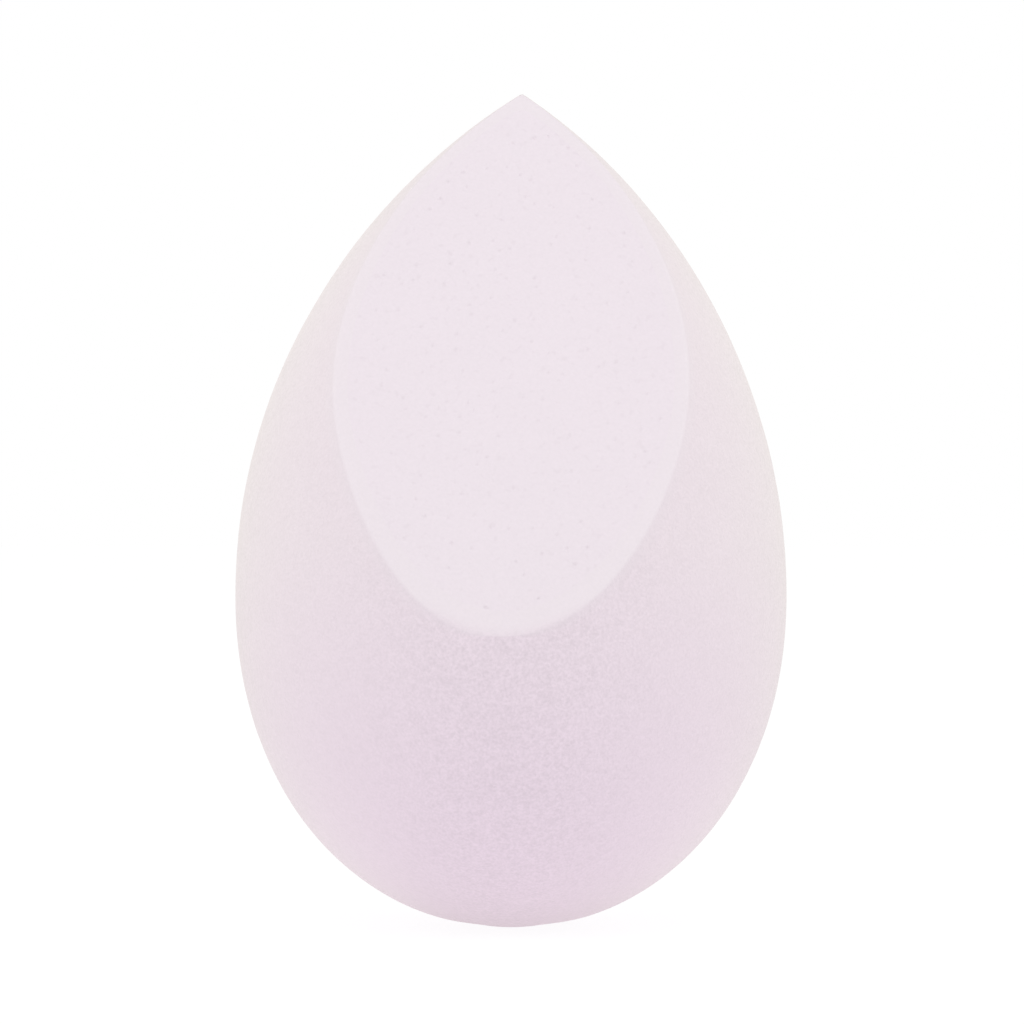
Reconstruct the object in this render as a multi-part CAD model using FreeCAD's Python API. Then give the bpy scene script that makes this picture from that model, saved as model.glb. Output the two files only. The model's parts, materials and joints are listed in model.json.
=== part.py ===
"""Teardrop makeup sponge: a foam core in a thin napped skin, with one slanted cut from the tip to the belly.

Lengths are in millimetres. The sponge stands on its round base with Z up, and the slanted cut faces -Y.
The core shows only on the cut. The skin is bonded to the core everywhere else and ends flush at the cut.
"""
import FreeCAD
import Part

import math
import os

# Driving sizes of the teardrop
HEIGHT = 60.0
BELLY_DIAMETER = 39.7
BELLY_HEIGHT = 23.9
BASE_FULLNESS = 2.04  # exponent of the rounded base: 2 is an ellipse, more is squarer
REST_FLAT_DIAMETER = 5.0  # the patch that soft foam settles on under its own weight
TIP_LEAN = 0.8  # how far the tip stands to +X of the axis
LEAN_POWER = 2.5  # more keeps the lean nearer to the tip

# Driving sizes of the slanted cut
CUT_FOOT_HEIGHT = 21.5  # lowest point of the cut
CUT_FLAT_LENGTH = 28.0  # flat part of the cut, measured down from the tip
CUT_ROLL_OFF = 1.65  # how far the foot of the cut falls back behind its flat part
TIP_LAND = 0.15  # foam left in front of the tip's own axis

# Driving size of the skin
SKIN_THICKNESS = 0.6

# Sections that the lofts pass through
BASE_SECTIONS = 9
OGIVE_SECTIONS = 9

# Worked out from the driving sizes
BELLY_RADIUS = BELLY_DIAMETER / 2
REST_FLAT_RADIUS = REST_FLAT_DIAMETER / 2
OGIVE_HEIGHT = HEIGHT - BELLY_HEIGHT
OGIVE_RADIUS = (BELLY_RADIUS**2 + OGIVE_HEIGHT**2) / (2 * BELLY_RADIUS)
REST_SHARE = (REST_FLAT_RADIUS / BELLY_RADIUS) ** BASE_FULLNESS
BASE_DEPTH = BELLY_HEIGHT / (1 - REST_SHARE) ** (1 / BASE_FULLNESS)
CUTTER_REACH = 2 * BELLY_DIAMETER


def base_point(turn):
    """Radius and height on the rounded base; a turn of 0 is the lowest point and a right angle the belly."""
    radius = BELLY_RADIUS * math.sin(turn) ** (2 / BASE_FULLNESS)
    drop = BASE_DEPTH * math.cos(turn) ** (2 / BASE_FULLNESS)
    return radius, BELLY_HEIGHT - drop


def base_normal(radius, height):
    """Outward direction of the rounded base at a point on it, as radius and height parts."""
    out = (radius / BELLY_RADIUS) ** (BASE_FULLNESS - 1) / BELLY_RADIUS
    down = ((BELLY_HEIGHT - height) / BASE_DEPTH) ** (BASE_FULLNESS - 1) / BASE_DEPTH
    length = math.hypot(out, down)
    return out / length, -down / length


def base_outline(inset):
    """Radius and height from the rest flat up to just under the belly, moved in from the outside by the inset."""
    first_turn = math.asin(math.sqrt(REST_SHARE))
    step = (math.pi / 2 - first_turn) / BASE_SECTIONS
    points = []
    for number in range(BASE_SECTIONS):
        radius, height = base_point(first_turn + number * step)
        out, up = base_normal(radius, height)
        points.append((radius - inset * out, height - inset * up))
    return points


def tip_height(inset):
    """Height at which the inset ogive closes on the axis."""
    centre_offset = OGIVE_RADIUS - BELLY_RADIUS
    return BELLY_HEIGHT + math.sqrt((OGIVE_RADIUS - inset) ** 2 - centre_offset**2)


def ogive_outline(inset):
    """Radius and height from the belly up to just under the tip, moved in from the outside by the inset."""
    arc_radius = OGIVE_RADIUS - inset
    last_turn = math.asin((tip_height(inset) - BELLY_HEIGHT) / arc_radius)
    points = []
    for number in range(OGIVE_SECTIONS):
        turn = last_turn * number / OGIVE_SECTIONS
        radius = BELLY_RADIUS - OGIVE_RADIUS + arc_radius * math.cos(turn)
        points.append((radius, BELLY_HEIGHT + arc_radius * math.sin(turn)))
    return points


def lean_at(height):
    """Sideways shift of the axis, which grows from nothing at the belly to the full lean at the tip."""
    share = max(0.0, (height - BELLY_HEIGHT) / OGIVE_HEIGHT)
    return TIP_LEAN * share**LEAN_POWER


def ring(radius, height):
    """A level circle about the leaning axis, as four quarter arcs."""
    centre = FreeCAD.Vector(lean_at(height), 0, height)

    def rim(degrees):
        turn = math.radians(degrees)
        return centre + FreeCAD.Vector(radius * math.cos(turn), radius * math.sin(turn), 0)

    arcs = [Part.Arc(rim(start), rim(start + 45), rim(start + 90)) for start in (45, 135, 225, 315)]
    return Part.Wire([arc.toShape() for arc in arcs])


def teardrop(inset):
    """The whole teardrop before the slanted cut, its surface moved in from the outside by the inset."""
    rings = [ring(radius, height) for radius, height in base_outline(inset) + ogive_outline(inset)]
    height = tip_height(inset)
    tip = Part.Vertex(lean_at(height), 0, height)
    return Part.makeLoft(rings + [tip], True)


def outside_radius(height):
    """Radius of the outside of the teardrop at a height."""
    rise = height - BELLY_HEIGHT
    if rise > 0:
        return BELLY_RADIUS - OGIVE_RADIUS + math.sqrt(OGIVE_RADIUS**2 - rise**2)
    share = (-rise / BASE_DEPTH) ** BASE_FULLNESS
    return BELLY_RADIUS * (1 - share) ** (1 / BASE_FULLNESS)


def cutter():
    """The block that the slanted cut takes off: flat from the tip down, then rolling back to the foot."""
    head = FreeCAD.Vector(0, -TIP_LAND, HEIGHT)
    foot = FreeCAD.Vector(0, -outside_radius(CUT_FOOT_HEIGHT), CUT_FOOT_HEIGHT)
    reach = head.sub(foot)
    tilt = math.atan2(reach.y, reach.z) + math.asin(CUT_ROLL_OFF / reach.Length)
    down = FreeCAD.Vector(0, -math.sin(tilt), -math.cos(tilt))
    inward = FreeCAD.Vector(0, math.cos(tilt), -math.sin(tilt))
    bend = head + down * CUT_FLAT_LENGTH
    chord = foot.sub(bend)
    bend_radius = chord.Length**2 / (2 * CUT_ROLL_OFF)
    bend_centre = bend + inward * bend_radius
    bend_angle = 2 * math.asin(chord.Length / (2 * bend_radius))

    def on_bend(turn):
        return bend_centre + (down * math.sin(turn) - inward * math.cos(turn)) * bend_radius

    leave = down * math.cos(bend_angle) + inward * math.sin(bend_angle)
    above_head = head - down * CUTTER_REACH
    below_foot = foot + leave * CUTTER_REACH
    far = FreeCAD.Vector(0, -2 * CUTTER_REACH, above_head.z)
    edges = [
        Part.makeLine(above_head, bend),
        Part.Arc(bend, on_bend(bend_angle / 2), foot).toShape(),
        Part.makeLine(foot, below_foot),
        Part.makeLine(below_foot, far),
        Part.makeLine(far, above_head),
    ]
    side = Part.Face(Part.Wire(edges))
    side.translate(FreeCAD.Vector(-CUTTER_REACH, 0, 0))
    return side.extrude(FreeCAD.Vector(2 * CUTTER_REACH, 0, 0))


def foam_core(block):
    """The soft foam inside the skin, bare on the slanted cut."""
    return teardrop(SKIN_THICKNESS).cut(block)


def outer_skin(block):
    """The thin napped skin, open where the slanted cut bares the core."""
    return teardrop(0).cut(teardrop(SKIN_THICKNESS)).cut(block)


def write(node, shape):
    """Writes one solid as its own STEP file."""
    solids = shape.Solids
    if len(solids) != 1 or not solids[0].isValid():
        raise ValueError(f"{node} is not one valid solid")
    solids[0].exportStep(os.path.join("parts", node + ".step"))


os.makedirs("parts", exist_ok=True)
CUT_BLOCK = cutter()
write("foam_core", foam_core(CUT_BLOCK))
write("outer_skin", outer_skin(CUT_BLOCK))
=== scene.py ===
import json
import math
from types import SimpleNamespace

import bpy
from mathutils import Matrix, Vector


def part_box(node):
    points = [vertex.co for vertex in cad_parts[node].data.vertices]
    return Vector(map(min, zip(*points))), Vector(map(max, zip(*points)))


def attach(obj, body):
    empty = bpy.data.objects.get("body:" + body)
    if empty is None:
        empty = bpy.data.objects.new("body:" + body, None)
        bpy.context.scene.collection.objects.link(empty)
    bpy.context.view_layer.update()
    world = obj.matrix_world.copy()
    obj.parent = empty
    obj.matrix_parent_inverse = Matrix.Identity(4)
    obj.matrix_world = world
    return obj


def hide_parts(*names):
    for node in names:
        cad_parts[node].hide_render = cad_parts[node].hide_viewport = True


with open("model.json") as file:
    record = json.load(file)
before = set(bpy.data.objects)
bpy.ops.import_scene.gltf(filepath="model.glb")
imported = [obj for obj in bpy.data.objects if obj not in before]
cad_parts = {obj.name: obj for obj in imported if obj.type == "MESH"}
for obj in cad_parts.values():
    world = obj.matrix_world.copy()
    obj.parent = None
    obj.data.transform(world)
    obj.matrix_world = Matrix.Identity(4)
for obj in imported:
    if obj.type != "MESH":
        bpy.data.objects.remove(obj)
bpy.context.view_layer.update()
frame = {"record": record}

bl_info = {
    "name": "Makeup Sponge",
    "version": (1, 0, 0),
    "blender": (4, 5, 0),
    "location": "View3D > Sidebar > Sponge",
    "description": "Builds a teardrop makeup sponge: a cut foam core in a thin napped skin, with its stage",
    "category": "Object",
}

MM = 0.001

# Names of the values that the node trees keep on the meshes, for their later steps and for the materials
ON_CUT = "on_cut"
NAP = "nap"
RIM = "rim"
PAINTED_EDGE_LIGHT = "worn"
PORE = "pore"
SOFT = "soft"
SEAM = "seam"
FADE = "fade"

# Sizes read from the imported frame, in metres
SKIN_LOW, SKIN_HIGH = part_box("outer_skin")
CORE_LOW, CORE_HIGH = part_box("foam_core")
CUT_MOUNT = next(mount for mount in frame["record"]["mounts"] if mount["name"] == "cut_flat")
CUT_TILT = math.asin(CUT_MOUNT["axis"][2])
HEIGHT = SKIN_HIGH.z - SKIN_LOW.z
BELLY_DIAMETER = SKIN_HIGH.x - SKIN_LOW.x
SKIN_THICKNESS = (BELLY_DIAMETER - (CORE_HIGH.x - CORE_LOW.x)) / 2
TIP_EXTRA = 0.08 * MM  # added to the point, whose rounding takes most of it off again
TIP_LAND = -CUT_MOUNT["pos_m"][1] - (HEIGHT - CUT_MOUNT["pos_m"][2]) * math.tan(CUT_TILT)


# Formulas that work on plain numbers and on values in a node tree alike


class Field:
    """A value in a node tree. Each operation on it adds one Math node."""

    def __init__(self, tree, socket):
        self.tree = tree
        self.socket = socket

    def __add__(self, other):
        return calc("ADD", self, other)

    def __radd__(self, other):
        return calc("ADD", other, self)

    def __sub__(self, other):
        return calc("SUBTRACT", self, other)

    def __rsub__(self, other):
        return calc("SUBTRACT", other, self)

    def __mul__(self, other):
        return calc("MULTIPLY", self, other)

    def __rmul__(self, other):
        return calc("MULTIPLY", other, self)

    def __truediv__(self, other):
        return calc("DIVIDE", self, other)

    def __rtruediv__(self, other):
        return calc("DIVIDE", other, self)

    def __pow__(self, other):
        return calc("POWER", self, other)


PLAIN = {
    "SINE": math.sin,
    "COSINE": math.cos,
    "EXPONENT": math.exp,
    "ARCCOSINE": lambda value: math.acos(max(-1.0, min(1.0, value))),
    "SQRT": lambda value: math.sqrt(max(0.0, value)),
    "MAXIMUM": max,
    "MINIMUM": min,
}


def plug(tree, value, socket):
    """Feeds a field, a socket or a plain value into a socket."""
    if isinstance(value, Field):
        tree.links.new(value.socket, socket)
    elif isinstance(value, bpy.types.NodeSocket):
        tree.links.new(value, socket)
    else:
        socket.default_value = value


def calc(operation, *values):
    """One step of a formula: a Math node if any value is a field, or else a plain number."""
    fields = [value for value in values if isinstance(value, Field)]
    if not fields:
        return PLAIN[operation](*values)
    tree = fields[0].tree
    node = tree.nodes.new("ShaderNodeMath")
    node.operation = operation
    for value, socket in zip(values, node.inputs):
        plug(tree, value, socket)
    return Field(tree, node.outputs["Value"])


def over(value, limit):
    """1 where a field is over the limit, and 0 elsewhere."""
    return calc("GREATER_THAN", value, limit)


def under(value, limit):
    """1 where a field is under the limit, and 0 elsewhere."""
    return calc("LESS_THAN", value, limit)


def share(value, start, end):
    """How far a value is from start to end, held between 0 and 1."""
    return calc("MINIMUM", calc("MAXIMUM", (value - start) / (end - start), 0.0), 1.0)


# The rule of the teardrop and of its slanted cut

# Places on the outline, in turns from the middle of the base
TURN_UNDER_CUT = 0.3
MID_BASE_TURN = 0.5
BELLY_TURN = 1.0
TURN_IN_CUT = 1.3
MID_OGIVE_TURN = 1.5
TIP_TURN = 2.0
# The flank between belly and tip draws in a little from its arc, most at its middle
FLANK_MIDDLE = 1.62
FLANK_REACH = 0.45
# The base is drawn up a little, most on a ring round its middle
PINCH_RADIUS = 3.2 * MM
PINCH_REACH = 1.5 * MM
HALVINGS = 40


def outline(size, turn, inset):
    """Radius and height of the outline: turn 0 is the middle of the base, 1 the belly and 2 the tip."""
    base_angle = calc("MINIMUM", turn, BELLY_TURN) * (math.pi / 2)
    arc = size.ogive_radius - inset
    tip_angle = calc("ARCCOSINE", (size.ogive_radius - size.belly_radius) / arc)
    ogive_angle = calc("MAXIMUM", turn - BELLY_TURN, 0.0) * tip_angle
    power = 2.0 / size.base_fullness
    sweep = calc("MAXIMUM", calc("SINE", base_angle), 0.0) ** power
    drop = calc("MAXIMUM", calc("COSINE", base_angle), 0.0) ** power
    off_flank = (turn - FLANK_MIDDLE) / FLANK_REACH
    on_flank = calc("MAXIMUM", 1.0 - off_flank * off_flank, 0.0)
    radius = (size.belly_radius - inset) * sweep - arc * (1.0 - calc("COSINE", ogive_angle))
    radius = radius - size.slim_flank * on_flank * on_flank
    radius = calc("MAXIMUM", radius, 0.0)
    floor_height = calc("MAXIMUM", size.belly_height - (size.base_depth - inset) * drop, inset)
    blunted = size.tip_round * calc("EXPONENT", -1.0 * radius / size.tip_round)
    blunted = blunted * share(turn, BELLY_TURN, MID_OGIVE_TURN)
    from_pinch = (radius - PINCH_RADIUS) / PINCH_REACH
    pinched = size.base_pinch * calc("EXPONENT", -1.0 * from_pinch * from_pinch)
    pinched = pinched * share(turn, BELLY_TURN, MID_BASE_TURN)
    return radius, floor_height + arc * calc("SINE", ogive_angle) - blunted + pinched


def cut_depth(size, height):
    """How far in front of the axis the cut lies at a height: flat above the bend, rolling back below."""
    below = calc("MINIMUM", height, size.bend_height) - size.bend_centre_height
    above = calc("MAXIMUM", height - size.bend_height, 0.0)
    rolled = calc("SQRT", size.bend_radius * size.bend_radius - below * below)
    return rolled - size.bend_centre_y - above * size.cut_slope


def lean(size, height):
    """Sideways shift of the axis, from nothing at the belly to the full lean at the tip."""
    risen = calc("MAXIMUM", (height - size.belly_height) / size.ogive_height, 0.0)
    return size.tip_lean * risen**size.lean_power


def twist(size, height):
    """How far the cut turns to the left about the axis: nothing above its bend, and most at its foot."""
    fallen = share(height, size.bend_height, size.foot_height)
    return size.cut_twist * fallen * fallen


def wrap(size, turn, around, inset, beside_cut):
    """A point of the teardrop, from the cut's right edge, around 0, by the back to its left edge, 1."""
    radius, height = outline(size, turn, inset)
    opening = calc("ARCCOSINE", cut_depth(size, height) / radius) * beside_cut
    front = -math.pi / 2 - twist(size, height)
    angle = front + opening + around * (2 * math.pi - 2.0 * opening)
    return lean(size, height) + radius * calc("COSINE", angle), radius * calc("SINE", angle), height


def meeting_turn(size, inset, outside, inside):
    """The turn at which the outline crosses the cut, by halving between one outside it and one inside."""
    for _ in range(HALVINGS):
        middle = (outside + inside) / 2
        radius, height = outline(size, middle, inset)
        if radius > cut_depth(size, height):
            inside = middle
        else:
            outside = middle
    return (outside + inside) / 2


def worked_sizes(props):
    """The driving sizes with what follows from them, as plain numbers in metres."""
    size = SimpleNamespace()
    size.belly_radius = props.belly_diameter / 2
    size.belly_height = props.belly_height
    size.base_fullness = props.base_fullness
    size.slim_flank = props.slim_flank
    size.tip_round = props.tip_round
    size.base_pinch = props.base_pinch
    rest_share = (props.rest_flat_diameter / props.belly_diameter) ** props.base_fullness
    size.base_depth = props.belly_height / (1 - rest_share) ** (1 / props.base_fullness)
    size.ogive_height = props.height - props.belly_height
    size.ogive_radius = (size.belly_radius**2 + size.ogive_height**2) / (2 * size.belly_radius)
    size.tip_lean = props.tip_lean
    size.lean_power = props.lean_power
    size.cut_slope = math.tan(props.cut_tilt)
    size.cut_twist = props.cut_twist
    size.foot_height = props.cut_foot_height
    bend_drop = props.cut_flat_length * math.cos(props.cut_tilt)
    size.bend_height = props.height - bend_drop
    bend_depth = props.tip_land + bend_drop * size.cut_slope
    foot_share = ((props.belly_height - props.cut_foot_height) / size.base_depth) ** props.base_fullness
    foot_depth = size.belly_radius * (1 - foot_share) ** (1 / props.base_fullness)
    chord = math.hypot(foot_depth - bend_depth, size.bend_height - props.cut_foot_height)
    run_on = bend_depth + (size.bend_height - props.cut_foot_height) * size.cut_slope
    roll_off = (run_on - foot_depth) * math.cos(props.cut_tilt)
    size.bend_radius = chord**2 / (2 * roll_off)
    size.bend_centre_y = size.bend_radius * math.cos(props.cut_tilt) - bend_depth
    size.bend_centre_height = size.bend_height - size.bend_radius * math.sin(props.cut_tilt)
    return size


# Node trees


def add(tree, kind, settings=(), **inputs):
    """A new node with its settings, and its inputs fed by name; an underscore stands for a space."""
    node = tree.nodes.new(kind)
    for name, value in dict(settings).items():
        setattr(node, name, value)
    for name, value in inputs.items():
        plug(tree, value, node.inputs[name.replace("_", " ")])
    return node


def combine(tree, point):
    """A vector socket from three fields."""
    node = tree.nodes.new("ShaderNodeCombineXYZ")
    for value, socket in zip(point, node.inputs):
        plug(tree, value, socket)
    return node.outputs["Vector"]


def mix_points(tree, first, second, amount):
    """A vector socket part of the way from the first point to the second."""
    node = add(tree, "ShaderNodeMix", {"data_type": "VECTOR"})
    plug(tree, amount, node.inputs["Factor"])
    vectors = [socket for socket in node.inputs if socket.type == "VECTOR"]
    plug(tree, combine(tree, first), vectors[-2])
    plug(tree, combine(tree, second), vectors[-1])
    return next(socket for socket in node.outputs if socket.type == "VECTOR")


def new_tree(name, inputs):
    """A geometry node tree with named number inputs, its input fields and the inputs' identifiers."""
    tree = bpy.data.node_groups.new(name, "GeometryNodeTree")
    tree.interface.new_socket("Geometry", in_out="OUTPUT", socket_type="NodeSocketGeometry")
    identifiers = {}
    for label in inputs:
        socket = tree.interface.new_socket(label, in_out="INPUT", socket_type="NodeSocketFloat")
        identifiers[label] = socket.identifier
    group = tree.nodes.new("NodeGroupInput")
    fields = SimpleNamespace(**{label: Field(tree, group.outputs[label]) for label in inputs})
    return tree, fields, identifiers


def sheet_of_squares(tree, columns, rows):
    """A flat sheet of squares, with the column and row of each of its points as fields."""
    grid = add(
        tree,
        "GeometryNodeMeshGrid",
        Size_X=float(columns),
        Size_Y=float(rows),
        Vertices_X=columns + 1,
        Vertices_Y=rows + 1,
    )
    position = tree.nodes.new("GeometryNodeInputPosition").outputs[0]
    place = add(tree, "ShaderNodeSeparateXYZ", Vector=position)
    column = Field(tree, place.outputs["X"]) + columns / 2
    row = Field(tree, place.outputs["Y"]) + rows / 2
    return grid.outputs["Mesh"], column, row


HALF_STEP = 0.5  # half a row or a column, to pick out one line of points
END_CROWDING = 1.5  # over 1 closes the rows up towards the foot and the head of the cut


def row_turn(row, rows, foot_turn, head_turn):
    """The outline's turn for a row: rows lie below the foot of the cut, beside it and above its head."""
    foot_row = rows.below
    head_row = rows.below + rows.beside
    top_row = head_row + rows.above
    risen = share(row, foot_row, head_row)
    to_head = 1.0 - risen
    beside = to_head * risen**END_CROWDING + risen * (1.0 - to_head**END_CROWDING)
    below = foot_turn * (1.0 - share(row, foot_row, 0.0) ** END_CROWDING)
    return below + (head_turn - foot_turn) * beside + (TIP_TURN - head_turn) * share(row, head_row, top_row)


def store(tree, geometry, name, value):
    """Keeps a field on the mesh's points under a name."""
    node = add(tree, "GeometryNodeStoreNamedAttribute", {"data_type": "FLOAT", "domain": "POINT"})
    plug(tree, geometry, node.inputs["Geometry"])
    plug(tree, name, node.inputs["Name"])
    plug(tree, value, node.inputs["Value"])
    return node.outputs["Geometry"]


def stored(tree, name):
    """A field that was kept on the mesh under a name."""
    node = add(tree, "GeometryNodeInputNamedAttribute", {"data_type": "FLOAT"}, Name=name)
    return Field(tree, node.outputs["Attribute"])


def move(tree, geometry, **how):
    """Sets positions, or offsets them."""
    return add(tree, "GeometryNodeSetPosition", Geometry=geometry, **how).outputs["Geometry"]


def along_normal(tree, amount):
    """A vector socket of that length along the surface's normal."""
    node = add(tree, "ShaderNodeVectorMath", {"operation": "SCALE"})
    plug(tree, tree.nodes.new("GeometryNodeInputNormal").outputs["Normal"], node.inputs["Vector"])
    plug(tree, amount, node.inputs["Scale"])
    return node.outputs["Vector"]


def soften(tree, geometry, weight, rounds):
    """Rounds the mesh where the weight is 1 by averaging each point with its neighbours."""
    blur = add(tree, "GeometryNodeBlurAttribute", {"data_type": "FLOAT_VECTOR"})
    plug(tree, tree.nodes.new("GeometryNodeInputPosition").outputs[0], blur.inputs["Value"])
    plug(tree, rounds, blur.inputs["Iterations"])
    plug(tree, weight, blur.inputs["Weight"])
    return move(tree, geometry, Position=blur.outputs["Value"])


def noise(tree, scale, detail, vector=None):
    """A soft noise field between 0 and 1."""
    node = add(tree, "ShaderNodeTexNoise", Scale=scale, Detail=detail)
    if vector is not None:
        plug(tree, vector, node.inputs["Vector"])
    return Field(tree, node.outputs["Fac"])


SHARP_ANGLE = math.radians(48)
MARKED = 0.99  # over this, a mark holds for the whole of an edge or a face


def close_tree(tree, geometry, material):
    """Smooth faces with sharp corners, real geometry, one material, and the tree's output."""
    smooth = add(tree, "GeometryNodeSetShadeSmooth", {"domain": "FACE"}, Geometry=geometry, Shade_Smooth=True)
    angle = tree.nodes.new("GeometryNodeInputMeshEdgeAngle")
    corner = over(Field(tree, angle.outputs["Unsigned Angle"]), SHARP_ANGLE)
    corner = calc("MAXIMUM", corner, over(stored(tree, SEAM), MARKED))
    sharp = add(tree, "GeometryNodeSetShadeSmooth", {"domain": "EDGE"}, Shade_Smooth=False)
    plug(tree, smooth.outputs[0], sharp.inputs[0])
    plug(tree, corner, sharp.inputs["Selection"])
    real = add(tree, "GeometryNodeRealizeInstances", Geometry=sharp.outputs[0])
    finish = add(tree, "GeometryNodeSetMaterial", Geometry=real.outputs[0], Material=material)
    output = tree.nodes.new("NodeGroupOutput")
    tree.links.new(finish.outputs["Geometry"], output.inputs["Geometry"])


def mesh_from_tree(name, tree, identifiers, values):
    """An object whose plain mesh is what the tree makes with those input values."""
    piece = bpy.data.objects.new(name, bpy.data.meshes.new(name))
    bpy.context.scene.collection.objects.link(piece)
    modifier = piece.modifiers.new("Shape", "NODES")
    modifier.node_group = tree
    for label, identifier in identifiers.items():
        modifier[identifier] = float(values[label])
    graph = bpy.context.evaluated_depsgraph_get()
    mesh = bpy.data.meshes.new_from_object(
        piece.evaluated_get(graph), preserve_all_data_layers=True, depsgraph=graph
    )
    piece.modifiers.clear()
    piece.data = mesh
    mesh.name = name
    material = mesh.materials[mesh.polygons[0].material_index]
    mesh.materials.clear()
    mesh.materials.append(material)
    mesh.polygons.foreach_set("material_index", [0] * len(mesh.polygons))
    return piece


SHAPE_INPUTS = (
    "belly_radius",
    "belly_height",
    "base_fullness",
    "slim_flank",
    "tip_round",
    "base_pinch",
    "base_depth",
    "ogive_height",
    "ogive_radius",
    "tip_lean",
    "lean_power",
    "cut_slope",
    "cut_twist",
    "foot_height",
    "bend_height",
    "bend_radius",
    "bend_centre_y",
    "bend_centre_height",
    "skin_thickness",
    "skin_foot_turn",
    "skin_head_turn",
    "core_foot_turn",
    "core_head_turn",
)


def shape_values(props):
    """Values for SHAPE_INPUTS."""
    size = worked_sizes(props)
    values = vars(size).copy()
    values["skin_thickness"] = props.skin_thickness
    for layer, inset in (("skin", 0.0), ("core", props.skin_thickness)):
        values[layer + "_foot_turn"] = meeting_turn(size, inset, TURN_UNDER_CUT, TURN_IN_CUT)
        values[layer + "_head_turn"] = meeting_turn(size, inset, TIP_TURN, TURN_IN_CUT)
    return values


# Node tree of the skin

SKIN_ROWS = SimpleNamespace(below=70, beside=184, above=2)
SKIN_OUTER_COLUMNS = 350
SKIN_EDGE_COLUMNS = 6
SKIN_INNER_COLUMNS = 20
EDGE_START = 0.01  # depth into the cut edge, as a share of it, past which a point is off the outside
# Reaches beside the edge of the cut, in columns
SOFT_COLUMNS = 2.5
# painted light: width of the pale band painted beside the cut
PAINTED_EDGE_LIGHT_COLUMNS = 9.0
TIP_COLUMNS = 80.0
# Heights from the foot of the cut at which the relief starts and is full, and the faded edge is full and ends
RELIEF_START = 0.5 * MM
RELIEF_FULL = 5.0 * MM
FADE_FULL = 0.9 * MM
FADE_END = 2.6 * MM
FADE_REACH = 0.6  # share of the skin's cut edge that the fade takes up
CROWDING = 0.5  # share by which the outer columns close up towards the cut
SOFTENING_ROUNDS = 2
WELD = 0.0005 * MM


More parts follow.
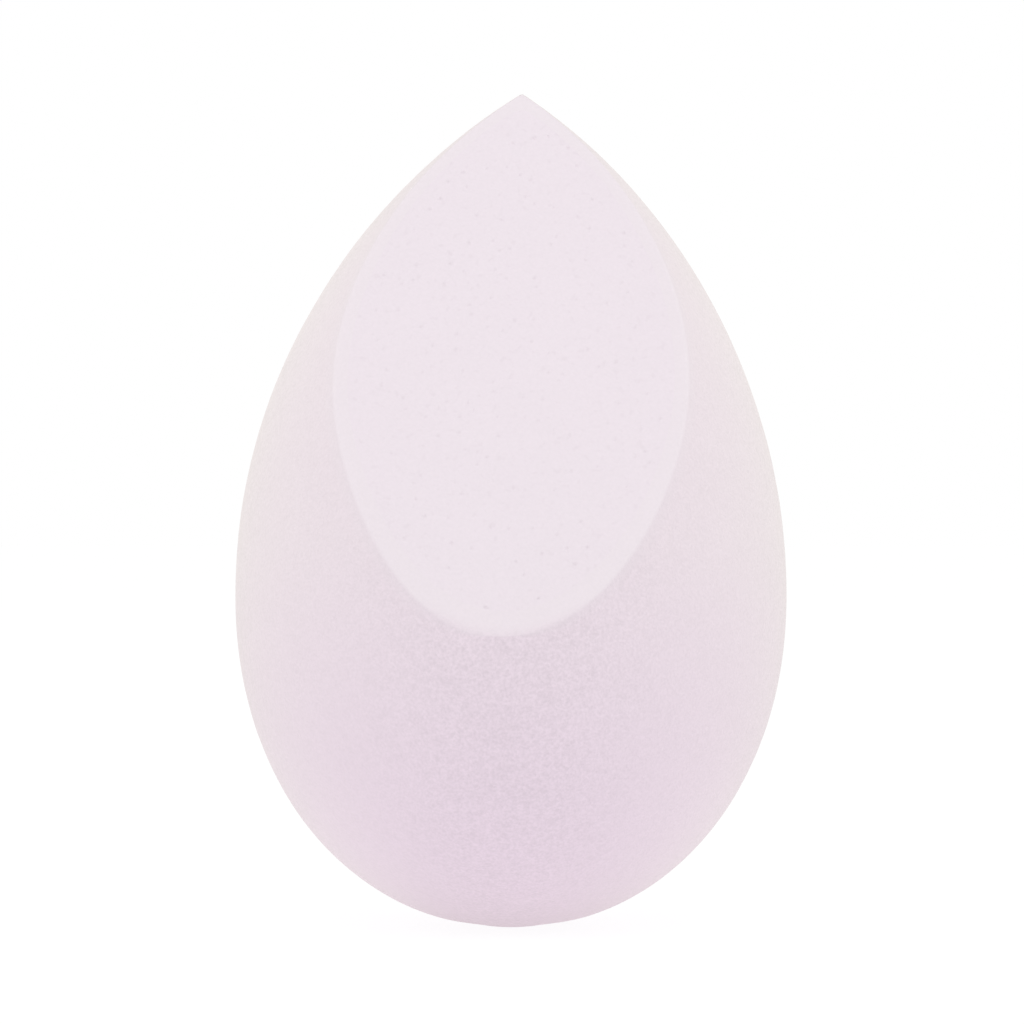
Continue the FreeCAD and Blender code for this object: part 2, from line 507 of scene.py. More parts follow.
def skin_tree(material):
    """The skin: outer wall, inner wall and the cut edge between them, one sheet closed on itself."""
    inputs = SHAPE_INPUTS + ("nap_height", "nap_length", "unevenness", "uneven_length")
    tree, size, identifiers = new_tree("Napped skin", inputs)
    rows = SKIN_ROWS
    foot_row = rows.below
    head_row = foot_row + rows.beside
    top_row = head_row + rows.above
    left_edge = SKIN_OUTER_COLUMNS
    left_core = left_edge + SKIN_EDGE_COLUMNS
    right_core = left_core + SKIN_INNER_COLUMNS
    right_edge = right_core + SKIN_EDGE_COLUMNS
    mesh, column, row = sheet_of_squares(tree, right_edge, top_row)

    across_edge = over(column, left_edge) * under(column, left_core) + over(column, right_core)
    off_cut = under(row, foot_row) + over(row, head_row)
    spare = add(tree, "GeometryNodeDeleteGeometry", {"domain": "FACE"}, Geometry=mesh)
    plug(tree, across_edge * off_cut, spare.inputs["Selection"])

    depth = share(column, left_edge, left_core) - share(column, right_core, right_edge)
    step = share(column, 0.0, left_edge)
    crowded = step - CROWDING / (2 * math.pi) * calc("SINE", step * (2 * math.pi))
    around = crowded - share(column, left_core, right_core)
    beside_cut = over(row, foot_row + HALF_STEP) * under(row, head_row - HALF_STEP)
    outer_turn = row_turn(row, rows, size.skin_foot_turn, size.skin_head_turn)
    outer = wrap(size, outer_turn, around, 0.0, beside_cut)
    inner_turn = row_turn(row, rows, size.core_foot_turn, size.core_head_turn)
    inner = wrap(size, inner_turn, around, size.skin_thickness, beside_cut)

    to_right = calc("MINIMUM", column, right_edge - column)
    to_edge = calc("MINIMUM", calc("ABSOLUTE", column - left_edge), to_right)
    at_edge = share(to_edge, SOFT_COLUMNS, 1.0) * beside_cut
    near_cut = over(row, foot_row - HALF_STEP) * under(row, head_row + HALF_STEP)
    off_outside = share(depth, 0.0, EDGE_START)
    at_corner = share(to_edge, 1.0 + HALF_STEP, HALF_STEP)
    on_cut = calc("MAXIMUM", off_outside, at_corner) * near_cut
    on_tip = share(row, head_row - 1.0, head_row) * share(to_edge, TIP_COLUMNS, TIP_COLUMNS / 2)
    on_cut = calc("MAXIMUM", on_cut, on_tip)
    kept = store(tree, spare.outputs["Geometry"], ON_CUT, on_cut)
    kept = store(tree, kept, RIM, depth)
    # painted light: where the skin is painted paler beside the cut
    kept = store(tree, kept, PAINTED_EDGE_LIGHT, share(to_edge, PAINTED_EDGE_LIGHT_COLUMNS, 1.0) * beside_cut)
    kept = store(tree, kept, NAP, (1.0 - off_outside) * (1.0 - at_edge))
    kept = store(tree, kept, SOFT, at_edge)
    to_left_seam = calc("ABSOLUTE", column - left_core)
    to_seam = calc("MINIMUM", to_left_seam, calc("ABSOLUTE", column - right_core))
    kept = store(tree, kept, SEAM, under(to_seam, HALF_STEP))
    shaped = move(tree, kept, Position=mix_points(tree, outer, inner, depth))
    welded = add(tree, "GeometryNodeMergeByDistance", Geometry=shaped, Distance=WELD).outputs["Geometry"]
    softened = soften(tree, welded, stored(tree, SOFT), SOFTENING_ROUNDS)
    relief = (noise(tree, 1.0 / size.nap_length, 2.0) - 0.5) * size.nap_height
    relief = relief + (noise(tree, 1.0 / size.uneven_length, 1.0) - 0.5) * size.unevenness
    position = tree.nodes.new("GeometryNodeInputPosition").outputs[0]
    spot = add(tree, "ShaderNodeSeparateXYZ", Vector=position)
    off_foot = calc("ABSOLUTE", Field(tree, spot.outputs["Z"]) - size.foot_height)
    relief = relief * share(off_foot, RELIEF_START, RELIEF_FULL) * stored(tree, NAP)
    fade = share(stored(tree, RIM), FADE_REACH, 0.0) ** 2.0 * share(off_foot, FADE_END, FADE_FULL)
    faded = store(tree, softened, FADE, fade)
    close_tree(tree, move(tree, faded, Offset=along_normal(tree, relief)), material)
    return tree, identifiers


# Node tree of the core

CORE_ROWS = SimpleNamespace(below=36, beside=380, above=2)
CORE_BACK_COLUMNS = 20
CORE_CUT_COLUMNS = 220
# Border of the cut face that stays plain, and the line at which its detail is full
BORDER_COLUMNS = (1.0, 5.0)
BORDER_ROWS = (4.0, 10.0)
SMALLEST_PORE = 0.6  # as a share of the largest
PORE_SEED = 11
PORE_SIZE_SEED = 23


def core_tree(material):
    """The core: a hidden back under the skin and the bare cut face, with tiny open pores in the face."""
    pore_inputs = ("pore_spacing", "pore_density", "pore_radius", "pore_depth")
    inputs = SHAPE_INPUTS + pore_inputs + ("grain_height", "grain_length")
    tree, size, identifiers = new_tree("Cut foam", inputs)
    rows = CORE_ROWS
    foot_row = rows.below
    head_row = foot_row + rows.beside
    left_edge = CORE_BACK_COLUMNS
    right_edge = left_edge + CORE_CUT_COLUMNS
    mesh, column, row = sheet_of_squares(tree, right_edge, head_row + rows.above)

    across = share(column, left_edge, right_edge)
    turn = row_turn(row, rows, size.core_foot_turn, size.core_head_turn)
    beside_cut = over(row, foot_row + HALF_STEP) * under(row, head_row - HALF_STEP)
    back = wrap(size, turn, share(column, 0.0, left_edge), size.skin_thickness, beside_cut)
    right = wrap(size, turn, 0.0, size.skin_thickness, beside_cut)
    inside = share(column - left_edge, *BORDER_COLUMNS) * share(right_edge - column, *BORDER_COLUMNS)
    inside = inside * share(row - foot_row, *BORDER_ROWS) * share(head_row - row, *BORDER_ROWS)
    kept = store(tree, mesh, ON_CUT, inside)
    to_right = calc("MINIMUM", column, right_edge - column)
    to_seam = calc("MINIMUM", calc("ABSOLUTE", column - left_edge), to_right)
    kept = store(tree, kept, SEAM, under(to_seam, HALF_STEP))
    shaped = move(tree, kept, Position=mix_points(tree, back, right, across))
    welded = add(tree, "GeometryNodeMergeByDistance", Geometry=shaped, Distance=WELD).outputs["Geometry"]

    scatter = add(
        tree,
        "GeometryNodeDistributePointsOnFaces",
        {"distribute_method": "POISSON"},
        Mesh=welded,
        Distance_Min=size.pore_spacing,
        Density_Max=size.pore_density,
        Seed=PORE_SEED,
    )
    plug(tree, over(stored(tree, ON_CUT), MARKED), scatter.inputs["Selection"])
    chance = add(tree, "FunctionNodeRandomValue", {"data_type": "FLOAT"}, Seed=PORE_SIZE_SEED)
    luck = Field(tree, next(socket for socket in chance.outputs if socket.enabled))
    pore_size = size.pore_radius * (SMALLEST_PORE + (1.0 - SMALLEST_PORE) * luck)
    points = store(tree, scatter.outputs["Points"], PORE, pore_size)
    near = add(tree, "GeometryNodeProximity", {"target_element": "POINTS"})
    plug(tree, points, near.inputs[0])
    nearest = add(tree, "GeometryNodeSampleNearest", {"domain": "POINT"}, Geometry=points)
    reach = add(tree, "GeometryNodeSampleIndex", {"data_type": "FLOAT", "domain": "POINT"}, Geometry=points)
    plug(tree, stored(tree, PORE), reach.inputs["Value"])
    plug(tree, nearest.outputs["Index"], reach.inputs["Index"])
    radius = Field(tree, reach.outputs["Value"])
    hollow = calc("MAXIMUM", 1.0 - (Field(tree, near.outputs["Distance"]) / radius) ** 2.0, 0.0)
    hollow = hollow * stored(tree, ON_CUT)
    pitted = store(tree, welded, PORE, hollow)
    grain = (noise(tree, 1.0 / size.grain_length, 2.0) - 0.5) * size.grain_height * stored(tree, ON_CUT)
    sink = grain - stored(tree, PORE) * radius * size.pore_depth
    close_tree(tree, move(tree, pitted, Offset=along_normal(tree, sink)), material)
    return tree, identifiers


# Finishes

NOISE_LOW, NOISE_HIGH = 0.3, 0.7  # soft noise seldom leaves these
FOAM_SPECULAR = 0.15
# Grain of cut foam
GRAIN_SIZE = 0.22 * MM
GRAIN_CLOUD_SIZE = 6.0 * MM
GRAIN_SHARE = 0.8  # the rest is cloud
SPECK_SIZE = 0.42 * MM
SPECK_START, SPECK_FULL = 0.66, 0.84
SPECK_DARKNESS = 0.35
# painted shade in the pits of the pores
PORE_SHADE = 0.5
CUT_ROUGHNESS, CUT_ROUGHER = 0.88, 0.08
CUT_BUMP = 0.12
CUT_BUMP_DEPTH = 0.03 * MM
# Nap of the skin
TUFT_SIZE = 0.2 * MM
TUFT_SHARE = 0.7  # the rest is worm-like
WORM_SIZE = 0.75 * MM
WORM_SHARPNESS = 6.0
CLOUD_SIZE = 4.0 * MM
CLOUD_SHARE = 0.1
# Bands that are brushed flatter, by how far sideways the skin faces: 0 at the front, 1 at the sides
BRUSH_START, BRUSH_FULL = 0.2, 0.58
BRUSH_EASING, BRUSH_END = 0.86, 0.97
BRUSHED_FLATTER = 0.55
# painted light: how far the band beside the cut is painted towards its paler colour
PAINTED_EDGE_LIGHT_SHARE = 0.5
FADE_SHARE = 0.55
# painted highlight along the rounded outer edge of the cut
RIM_EDGE_HIGHLIGHT = 0.006
NAP_ROUGHNESS, NAP_ROUGHER = 0.86, 0.1
NAP_BUMP_DEPTH = 0.05 * MM
TINY = 1e-9  # keeps a division clear of nought


def new_material(name):
    """A material, with its node tree, its shader and its object coordinates."""
    material = bpy.data.materials.new(name)
    material.use_nodes = True
    tree = material.node_tree
    shader = tree.nodes["Principled BSDF"]
    coordinates = tree.nodes.new("ShaderNodeTexCoord").outputs["Object"]
    return material, tree, shader, coordinates


def mix_colours(tree, amount, first, second):
    """A colour socket part of the way from the first colour to the second."""
    node = add(tree, "ShaderNodeMix", {"data_type": "RGBA"})
    plug(tree, amount, node.inputs["Factor"])
    colours = [socket for socket in node.inputs if socket.type == "RGBA"]
    for socket, colour in zip(colours, (first, second)):
        plug(tree, colour if isinstance(colour, bpy.types.NodeSocket) else (*colour, 1.0), socket)
    return next(socket for socket in node.outputs if socket.type == "RGBA")


def shade(colour, amount):
    """A colour made lighter or darker by a share."""
    return tuple(min(1.0, channel * (1 + amount)) for channel in colour)


def bump(tree, height, strength, distance):
    """A normal socket with fine relief."""
    return add(tree, "ShaderNodeBump", Height=height, Strength=strength, Distance=distance).outputs["Normal"]


def attribute(tree, name):
    """A number stored on the mesh under that name."""
    return Field(tree, add(tree, "ShaderNodeAttribute", {"attribute_name": name}).outputs["Fac"])


def patches(tree, place, size, detail):
    """Soft patches of about a size, spread over 0 to 1."""
    return share(noise(tree, 1 / size, detail, place), NOISE_LOW, NOISE_HIGH)


def cut_face(tree, place, colour, contrast):
    """Fine grain of cut foam in a colour, with its relief: the same pattern wherever the cut runs."""
    grain = patches(tree, place, GRAIN_SIZE, 2.0)
    clouds = patches(tree, place, GRAIN_CLOUD_SIZE, 2.0)
    blend = grain * GRAIN_SHARE + clouds * (1.0 - GRAIN_SHARE)
    return mix_colours(tree, blend, shade(colour, -contrast), shade(colour, contrast)), grain


def nap_colour(tree, place, nap, props):
    """Colour of the skin: nap over faint clouds, brushed flatter in bands, and deeper towards the base as
    painted shade.
    """
    clouds = patches(tree, place, CLOUD_SIZE, 2.0)
    spot = add(tree, "ShaderNodeSeparateXYZ", Vector=place)
    across, along, height = (Field(tree, spot.outputs[name]) for name in ("X", "Y", "Z"))
    sideways = calc("ABSOLUTE", across) / calc("SQRT", across * across + along * along + TINY)
    brushed = share(sideways, BRUSH_START, BRUSH_FULL) * share(sideways, BRUSH_END, BRUSH_EASING)
    strength = 1.0 - BRUSHED_FLATTER * brushed
    blend = 0.5 + (nap * (1.0 - CLOUD_SHARE) + clouds * CLOUD_SHARE - 0.5) * strength
    # painted shade: the skin turns deeper towards the base, for the dimmer light from below
    risen = share(height, 0.0, props.skin_rise)
    tones = []
    for change in (-props.nap_contrast, props.nap_contrast):
        low = shade(props.base_colour, change)
        high = shade(props.skin_colour, change)
        tones.append(mix_colours(tree, risen, low, high))
    return mix_colours(tree, blend, *tones)


def nap_material(props):
    """Velvety foam skin: a fine worm-like nap with painted light in a pale band beside the cut, and a cut
    edge with painted shade against the sheen and a painted highlight along its outer edge.
    """
    material, tree, shader, place = new_material("sponge_nap")
    tufts = patches(tree, place, TUFT_SIZE, 1.0)
    worms = 1.0 - calc("ABSOLUTE", noise(tree, 1 / WORM_SIZE, 1.0, place) - 0.5) * WORM_SHARPNESS
    nap = tufts * TUFT_SHARE + calc("MAXIMUM", worms, 0.0) * (1.0 - TUFT_SHARE)
    skin = nap_colour(tree, place, nap, props)
    # painted shade: the cut edge takes the skin's sheen, so its colour is set darker to look like the bare
    # cut face
    inner, _ = cut_face(tree, place, props.rim_colour, props.grain_contrast)
    # painted highlight: the cut edge is painted lighter towards its outer side
    outer, _ = cut_face(tree, place, shade(props.rim_colour, RIM_EDGE_HIGHLIGHT), props.grain_contrast)
    rim = mix_colours(tree, attribute(tree, RIM), outer, inner)
    rim = mix_colours(tree, attribute(tree, FADE) * FADE_SHARE, rim, skin)
    # painted light: the skin is painted paler in a band beside the cut, where its edge catches the light
    worn = mix_colours(tree, attribute(tree, PAINTED_EDGE_LIGHT) * PAINTED_EDGE_LIGHT_SHARE, skin, props.worn_colour)
    on_cut = attribute(tree, ON_CUT)
    plug(tree, mix_colours(tree, on_cut, worn, rim), shader.inputs["Base Color"])
    plug(tree, NAP_ROUGHNESS + NAP_ROUGHER * nap, shader.inputs["Roughness"])
    relief = bump(tree, nap * (1.0 - on_cut), props.nap_bump, NAP_BUMP_DEPTH)
    plug(tree, relief, shader.inputs["Normal"])
    shader.inputs["Specular IOR Level"].default_value = FOAM_SPECULAR
    shader.inputs["Sheen Weight"].default_value = props.sheen
    shader.inputs["Sheen Roughness"].default_value = props.sheen_roughness
    shader.inputs["Sheen Tint"].default_value = (*props.sheen_tint, 1.0)
    return material


def cut_material(props):
    """Cut foam: a fine even grain with small dark specks, and painted shade in the open pores."""
    material, tree, shader, place = new_material("sponge_cut_foam")
    face, grain = cut_face(tree, place, props.cut_colour, props.grain_contrast)
    specks = share(noise(tree, 1 / SPECK_SIZE, 0.0, place), SPECK_START, SPECK_FULL)
    # painted shade in the pores, together with random dark specks
    dark = calc("MAXIMUM", attribute(tree, PORE) * PORE_SHADE, specks * SPECK_DARKNESS)
    plug(tree, mix_colours(tree, dark, face, props.pore_colour), shader.inputs["Base Color"])
    plug(tree, CUT_ROUGHNESS + CUT_ROUGHER * grain, shader.inputs["Roughness"])
    plug(tree, bump(tree, grain, CUT_BUMP, CUT_BUMP_DEPTH), shader.inputs["Normal"])
    shader.inputs["Specular IOR Level"].default_value = FOAM_SPECULAR
    return material


# Pieces and stage


def finish_piece(piece, node):
    """Ties a foam piece to the frame in place of its CAD node."""
    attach(piece, "root")
    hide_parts(node)


class SpongeSizes(bpy.types.PropertyGroup):
    """Driving sizes of the sponge."""

    height: bpy.props.FloatProperty(
        name="Height",
        description="Base to the tip before it is rounded",
        default=HEIGHT + TIP_EXTRA,
        unit="LENGTH",
    )
    belly_diameter: bpy.props.FloatProperty(
        name="Belly Diameter", description="Widest part", default=BELLY_DIAMETER, unit="LENGTH"
    )
    belly_height: bpy.props.FloatProperty(
        name="Belly Height", description="Height of the widest part", default=23.9 * MM, unit="LENGTH"
    )
    base_fullness: bpy.props.FloatProperty(
        name="Base Fullness", description="2 is an elliptical base, more is squarer", default=2.085
    )
    slim_flank: bpy.props.FloatProperty(
        name="Slim Flank",
        description="How far the side between belly and tip draws in",
        default=0.07 * MM,
        unit="LENGTH",
    )
    rest_flat_diameter: bpy.props.FloatProperty(
        name="Rest Flat", description="Patch that the foam settles on", default=2.5 * MM, unit="LENGTH"
    )
    tip_round: bpy.props.FloatProperty(
        name="Tip Round", description="How far the point is worn down", default=0.05 * MM, unit="LENGTH"
    )
    base_pinch: bpy.props.FloatProperty(
        name="Base Pinch",
        description="How far the base is drawn up round its middle",
        default=0.1 * MM,
        unit="LENGTH",
    )
    tip_lean: bpy.props.FloatProperty(
        name="Tip Lean", description="How far the tip stands off the axis", default=0.8 * MM, unit="LENGTH"
    )
    lean_power: bpy.props.FloatProperty(
        name="Lean Power", description="More keeps the lean nearer to the tip", default=2.5
    )
    cut_tilt: bpy.props.FloatProperty(
        name="Cut Tilt", description="Slant of the cut from upright", default=CUT_TILT, unit="ROTATION"
    )
    cut_twist: bpy.props.FloatProperty(
        name="Cut Twist",
        description="How far the foot of the cut turns",
        default=math.radians(1.4),
        unit="ROTATION",
    )
    cut_foot_height: bpy.props.FloatProperty(
        name="Cut Foot", description="Height of the lowest point of the cut", default=21.5 * MM, unit="LENGTH"
    )
    cut_flat_length: bpy.props.FloatProperty(
        name="Cut Flat",
        description="Flat part of the cut, down from the tip",
        default=28.0 * MM,
        unit="LENGTH",
    )
    tip_land: bpy.props.FloatProperty(
        name="Tip Land", description="Foam left in front of the tip", default=TIP_LAND, unit="LENGTH"
    )
    skin_thickness: bpy.props.FloatProperty(
        name="Skin Thickness", description="Wall of the skin", default=SKIN_THICKNESS, unit="LENGTH"
    )
    nap_height: bpy.props.FloatProperty(
        name="Nap Height", description="Relief of the nap", default=0.03 * MM, unit="LENGTH"
    )
    nap_length: bpy.props.FloatProperty(
        name="Nap Length", description="Size of one tuft of the relief", default=1.1 * MM, unit="LENGTH"
    )
    unevenness: bpy.props.FloatProperty(
        name="Unevenness", description="Height of the body's slow swells", default=0.06 * MM, unit="LENGTH"
    )
    uneven_length: bpy.props.FloatProperty(
        name="Swell Length", description="Size of one slow swell", default=8.0 * MM, unit="LENGTH"
    )
    pore_spacing: bpy.props.FloatProperty(
        name="Pore Spacing", description="Least distance between pores", default=0.7 * MM, unit="LENGTH"
    )
    pore_density: bpy.props.FloatProperty(
        name="Pore Density", description="Pores tried for each square metre", default=0.3e6
    )
    pore_radius: bpy.props.FloatProperty(
        name="Pore Radius", description="Largest pore", default=0.17 * MM, unit="LENGTH"
    )
    pore_depth: bpy.props.FloatProperty(
        name="Pore Depth", description="Depth as a share of the radius", default=0.4, subtype="FACTOR"
    )
    grain_height: bpy.props.FloatProperty(
        name="Grain Height", description="Relief of the cut face", default=0.012 * MM, unit="LENGTH"
    )
    grain_length: bpy.props.FloatProperty(
        name="Grain Length", description="Size of one grain of the cut face", default=0.6 * MM, unit="LENGTH"
    )


class SpongeFinish(bpy.types.PropertyGroup):
    """Colours and finish of the sponge."""

    skin_colour: bpy.props.FloatVectorProperty(
        name="Skin",
        description="Colour of the napped skin",
        default=(0.800, 0.698, 0.769),
        subtype="COLOR",
        size=3,
    )
    # Painted shade: the deeper colour of the skin low down, for the dimmer light from below
    base_colour: bpy.props.FloatVectorProperty(
        name="Base",
        description="Deeper colour of the skin at the base",
        default=(0.785, 0.635, 0.779),
        subtype="COLOR",
        size=3,
    )
    # Height up to which the painted shade at the base reaches
    skin_rise: bpy.props.FloatProperty(
        name="Skin Rise",
        description="Height at which the base colour has faded out",
        default=28.0 * MM,
        unit="LENGTH",
    )
    cut_colour: bpy.props.FloatVectorProperty(
        name="Cut",
        description="Colour of the cut foam",
        default=(0.868, 0.790, 0.842),
        subtype="COLOR",
        size=3,
    )
    # Painted light: the paler colour of the band beside the cut, where the edge catches the light
    worn_colour: bpy.props.FloatVectorProperty(
        name="Worn Skin",
        description="Skin rubbed pale beside the cut",
        default=(0.79, 0.71, 0.775),
        subtype="COLOR",
        size=3,
    )
    # Painted shade: a little darker than the cut, to offset the skin's sheen on the cut edge
    rim_colour: bpy.props.FloatVectorProperty(
        name="Rim",
        description="Colour of the skin's cut edge",
        default=(0.856, 0.774, 0.836),
        subtype="COLOR",
        size=3,
    )
    # Painted shade deep in a pore; the specks take this colour too
    pore_colour: bpy.props.FloatVectorProperty(
        name="Pore", description="Colour deep in a pore", default=(0.79, 0.71, 0.76), subtype="COLOR", size=3
    )
    nap_contrast: bpy.props.FloatProperty(
        name="Nap Contrast", description="Colour change over the nap", default=0.085, subtype="FACTOR"
    )
    nap_bump: bpy.props.FloatProperty(
        name="Nap Bump", description="Strength of the fine nap", default=0.35, subtype="FACTOR"
    )
    grain_contrast: bpy.props.FloatProperty(
        name="Grain Contrast", description="Colour change over the cut", default=0.018, subtype="FACTOR"
    )
    sheen: bpy.props.FloatProperty(
        name="Sheen", description="Pale bloom of the nap at grazing angles", default=0.62, subtype="FACTOR"
    )
    sheen_roughness: bpy.props.FloatProperty(
        name="Sheen Roughness", description="Spread of the bloom", default=0.74, subtype="FACTOR"
    )
    sheen_tint: bpy.props.FloatVectorProperty(
        name="Sheen Tint",
        description="Colour of the bloom",
        default=(0.945, 0.955, 0.83),
        subtype="COLOR",
        size=3,
    )


class SpongeStage(bpy.types.PropertyGroup):
    """Camera, lamps and floor."""

    lens: bpy.props.FloatProperty(name="Lens", description="Focal length in millimetres", default=135.0)
    distance: bpy.props.FloatProperty(
        name="Distance", description="Camera to the sponge's axis", default=0.2773, unit="LENGTH"
    )
    aim_height: bpy.props.FloatProperty(
        name="Aim Height", description="Height of the level camera", default=29.86 * MM, unit="LENGTH"
    )
    azimuth: bpy.props.FloatProperty(
        name="Azimuth",
        description="Camera's turn to the right of the cut",
        default=math.radians(0.35),
        unit="ROTATION",
    )
    aim_side: bpy.props.FloatProperty(
        name="Aim Side",
        description="How far to the right of the axis it aims",
        default=0.076 * MM,
        unit="LENGTH",
    )
    world_light: bpy.props.FloatProperty(name="World", description="Even light from all round", default=0.726)
    floor_glow: bpy.props.FloatProperty(
        name="Floor Glow",
        description="Share of the floor's light that shadows don't dim",
        default=0.46,
        subtype="FACTOR",
    )
    side_light: bpy.props.FloatProperty(name="Sides", description="Watts of each side lamp", default=0.286)
    top_light: bpy.props.FloatProperty(name="Top", description="Watts of the top lamp", default=0.69)


WHITE = (1, 1, 1, 1)
FLOOR_HALF = 3.0
FLOOR_DROP = 0.05 * MM  # keeps the floor clear of the sponge's base
FLOOR_PAINT = (0.95, 0.95, 0.95, 1)
FLOOR_ROUGHNESS = 0.9
FLOOR_GLOW_STRENGTH = 1.08
FLOOR_GLOW_SEEN = 0.8  # share of glow in what the camera sees of the floor
# Lamps, in metres: where they stand and how wide and high they are
SIDE_LAMP = SimpleNamespace(aside=0.5, height=0.13, size=(0.3, 0.24))
TOP_LAMP = SimpleNamespace(place=(0, -0.25, 0.5), size=(0.4, 0.4))


def seen_by_camera(tree):
    """A field that is 1 for what the camera sees, directly, in gloss or through glass."""
    path = tree.nodes.new("ShaderNodeLightPath")
    names = ("Is Camera Ray", "Is Glossy Ray", "Is Transmission Ray")
    direct, gloss, glass = (Field(tree, path.outputs[name]) for name in names)
    return calc("MAXIMUM", calc("MAXIMUM", direct, gloss), glass)


def make_world(strength):
    """Even white light all round, which shows as plain white."""
    world = bpy.data.worlds.new("White surround")
    world.use_nodes = True
    tree = world.node_tree
    light = tree.nodes["Background"]
    light.inputs["Strength"].default_value = strength
    light.inputs["Color"].default_value = WHITE
    shown = add(tree, "ShaderNodeBackground", Color=WHITE, Strength=1.0)
    mixed = add(tree, "ShaderNodeMixShader")
    plug(tree, seen_by_camera(tree), mixed.inputs[0])
    plug(tree, light.outputs[0], mixed.inputs[1])
    plug(tree, shown.outputs[0], mixed.inputs[2])
    plug(tree, mixed.outputs[0], tree.nodes["World Output"].inputs["Surface"])
    bpy.context.scene.world = world


def make_floor(glow):
    """A wide pale floor that glows a little, shows nearly white and keeps the sponge's shadow."""
    mesh = bpy.data.meshes.new("floor")
    corners = [(x * FLOOR_HALF, y * FLOOR_HALF, -FLOOR_DROP) for x, y in ((-1, -1), (1, -1), (1, 1), (-1, 1))]
    mesh.from_pydata(corners, [], [(0, 1, 2, 3)])
    floor = bpy.data.objects.new("floor", mesh)
    bpy.context.scene.collection.objects.link(floor)
    material = bpy.data.materials.new("pale_floor")
    material.use_nodes = True
    tree = material.node_tree
    paint = tree.nodes["Principled BSDF"]
    paint.inputs["Base Color"].default_value = FLOOR_PAINT
    paint.inputs["Roughness"].default_value = FLOOR_ROUGHNESS
    paint.inputs["Specular IOR Level"].default_value = 0.0
    white = add(tree, "ShaderNodeEmission", Color=WHITE, Strength=FLOOR_GLOW_STRENGTH)
    mixed = add(tree, "ShaderNodeMixShader")
    plug(tree, glow + seen_by_camera(tree) * (FLOOR_GLOW_SEEN - glow), mixed.inputs[0])
    plug(tree, paint.outputs[0], mixed.inputs[1])
    plug(tree, white.outputs[0], mixed.inputs[2])
    plug(tree, mixed.outputs[0], tree.nodes["Material Output"].inputs["Surface"])
    mesh.materials.append(material)


def make_lamp(name, place, aim, size, watts):
    """A soft rectangular white lamp that points at a place."""
    data = bpy.data.lights.new(name, "AREA")
    data.shape = "RECTANGLE"
    data.size, data.size_y = size
    data.energy = watts
    lamp = bpy.data.objects.new(name, data)
    lamp.location = place
    lamp.rotation_euler = (aim - lamp.location).to_track_quat("-Z", "Y").to_euler()
    bpy.context.scene.collection.objects.link(lamp)


def make_camera(props):
    """A level camera in front of the cut."""
    data = bpy.data.cameras.new("camera")
    data.lens = props.lens
    camera = bpy.data.objects.new("camera", data)
    turn = Matrix.Rotation(props.azimuth, 4, "Z")
    camera.location = turn @ Vector((props.aim_side, -props.distance, props.aim_height))
    camera.rotation_euler = (math.pi / 2, 0, props.azimuth)
    bpy.context.scene.collection.objects.link(camera)
    bpy.context.scene.camera = camera


def input_values(sizes, identifiers):
    """A value for each named input of a node tree, worked out or as set."""
    worked = shape_values(sizes)
    return {label: worked[label] if label in worked else getattr(sizes, label) for label in identifiers}


class SPONGE_OT_make_core(bpy.types.Operator):
    """Make the foam core with its bare cut face."""

    bl_idname = "sponge.make_core"
    bl_label = "Make Foam Core"

    def execute(self, context):
        sizes = context.scene.sponge_sizes
        tree, identifiers = core_tree(cut_material(context.scene.sponge_finish))
        piece = mesh_from_tree("sponge_core", tree, identifiers, input_values(sizes, identifiers))
        finish_piece(piece, "foam_core")
        return {"FINISHED"}


class SPONGE_OT_make_skin(bpy.types.Operator):
    """Make the napped skin round the core."""

    bl_idname = "sponge.make_skin"
    bl_label = "Make Napped Skin"

    def execute(self, context):
        sizes = context.scene.sponge_sizes
        tree, identifiers = skin_tree(nap_material(context.scene.sponge_finish))
        piece = mesh_from_tree("sponge_skin", tree, identifiers, input_values(sizes, identifiers))
        finish_piece(piece, "outer_skin")
        return {"FINISHED"}


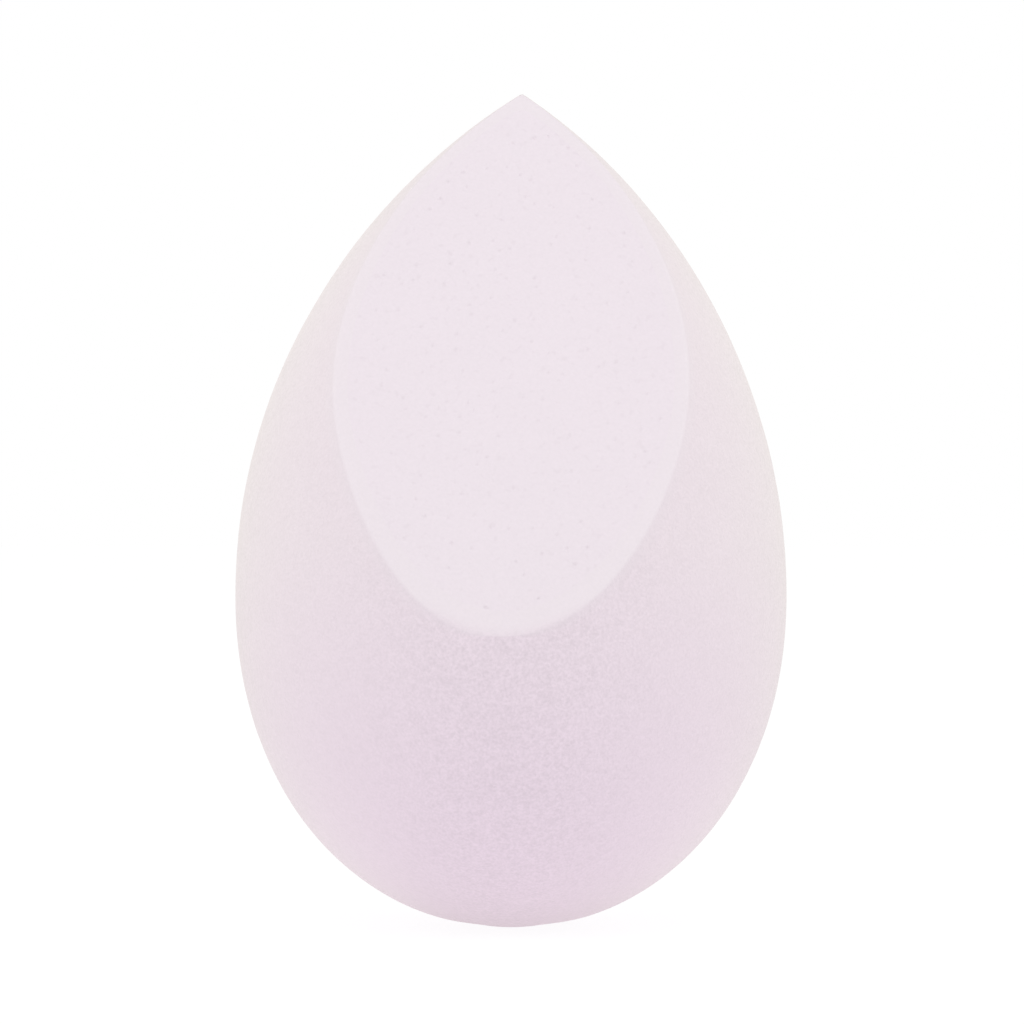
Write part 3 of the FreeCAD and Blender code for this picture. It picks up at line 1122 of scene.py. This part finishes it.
class SPONGE_OT_set_stage(bpy.types.Operator):
    """Set the floor, the light and the camera."""

    bl_idname = "sponge.set_stage"
    bl_label = "Set Stage"

    def execute(self, context):
        props = context.scene.sponge_stage
        context.scene.view_settings.view_transform = "Standard"
        make_world(props.world_light)
        make_floor(props.floor_glow)
        middle = Vector((0, 0, props.aim_height))
        for name, side in (("left_lamp", -1), ("right_lamp", 1)):
            place = Vector((side * SIDE_LAMP.aside, 0, SIDE_LAMP.height))
            make_lamp(name, place, middle, SIDE_LAMP.size, props.side_light)
        make_lamp("top_lamp", Vector(TOP_LAMP.place), middle, TOP_LAMP.size, props.top_light)
        make_camera(props)
        return {"FINISHED"}


class SPONGE_PT_pieces(bpy.types.Panel):
    """Sizes, finish and stage of the sponge, with a button for each piece."""

    bl_idname = "SPONGE_PT_pieces"
    bl_label = "Makeup Sponge"
    bl_space_type = "VIEW_3D"
    bl_region_type = "UI"
    bl_category = "Sponge"

    def draw(self, context):
        for group in (context.scene.sponge_sizes, context.scene.sponge_finish, context.scene.sponge_stage):
            box = self.layout.box()
            for name in group.__annotations__:
                box.prop(group, name)
        for operator in (SPONGE_OT_make_core, SPONGE_OT_make_skin, SPONGE_OT_set_stage):
            self.layout.operator(operator.bl_idname)


CLASSES = (
    SpongeSizes,
    SpongeFinish,
    SpongeStage,
    SPONGE_OT_make_core,
    SPONGE_OT_make_skin,
    SPONGE_OT_set_stage,
    SPONGE_PT_pieces,
)


def register():
    """Registers the classes and hangs their values on the scene."""
    for cls in CLASSES:
        bpy.utils.register_class(cls)
    bpy.types.Scene.sponge_sizes = bpy.props.PointerProperty(type=SpongeSizes)
    bpy.types.Scene.sponge_finish = bpy.props.PointerProperty(type=SpongeFinish)
    bpy.types.Scene.sponge_stage = bpy.props.PointerProperty(type=SpongeStage)


def unregister():
    """Takes everything off again."""
    del bpy.types.Scene.sponge_stage
    del bpy.types.Scene.sponge_finish
    del bpy.types.Scene.sponge_sizes
    for cls in reversed(CLASSES):
        bpy.utils.unregister_class(cls)


def main():
    register()
    bpy.ops.sponge.make_core()
    bpy.ops.sponge.make_skin()
    bpy.ops.sponge.set_stage()


if __name__ == "__main__":
    main()
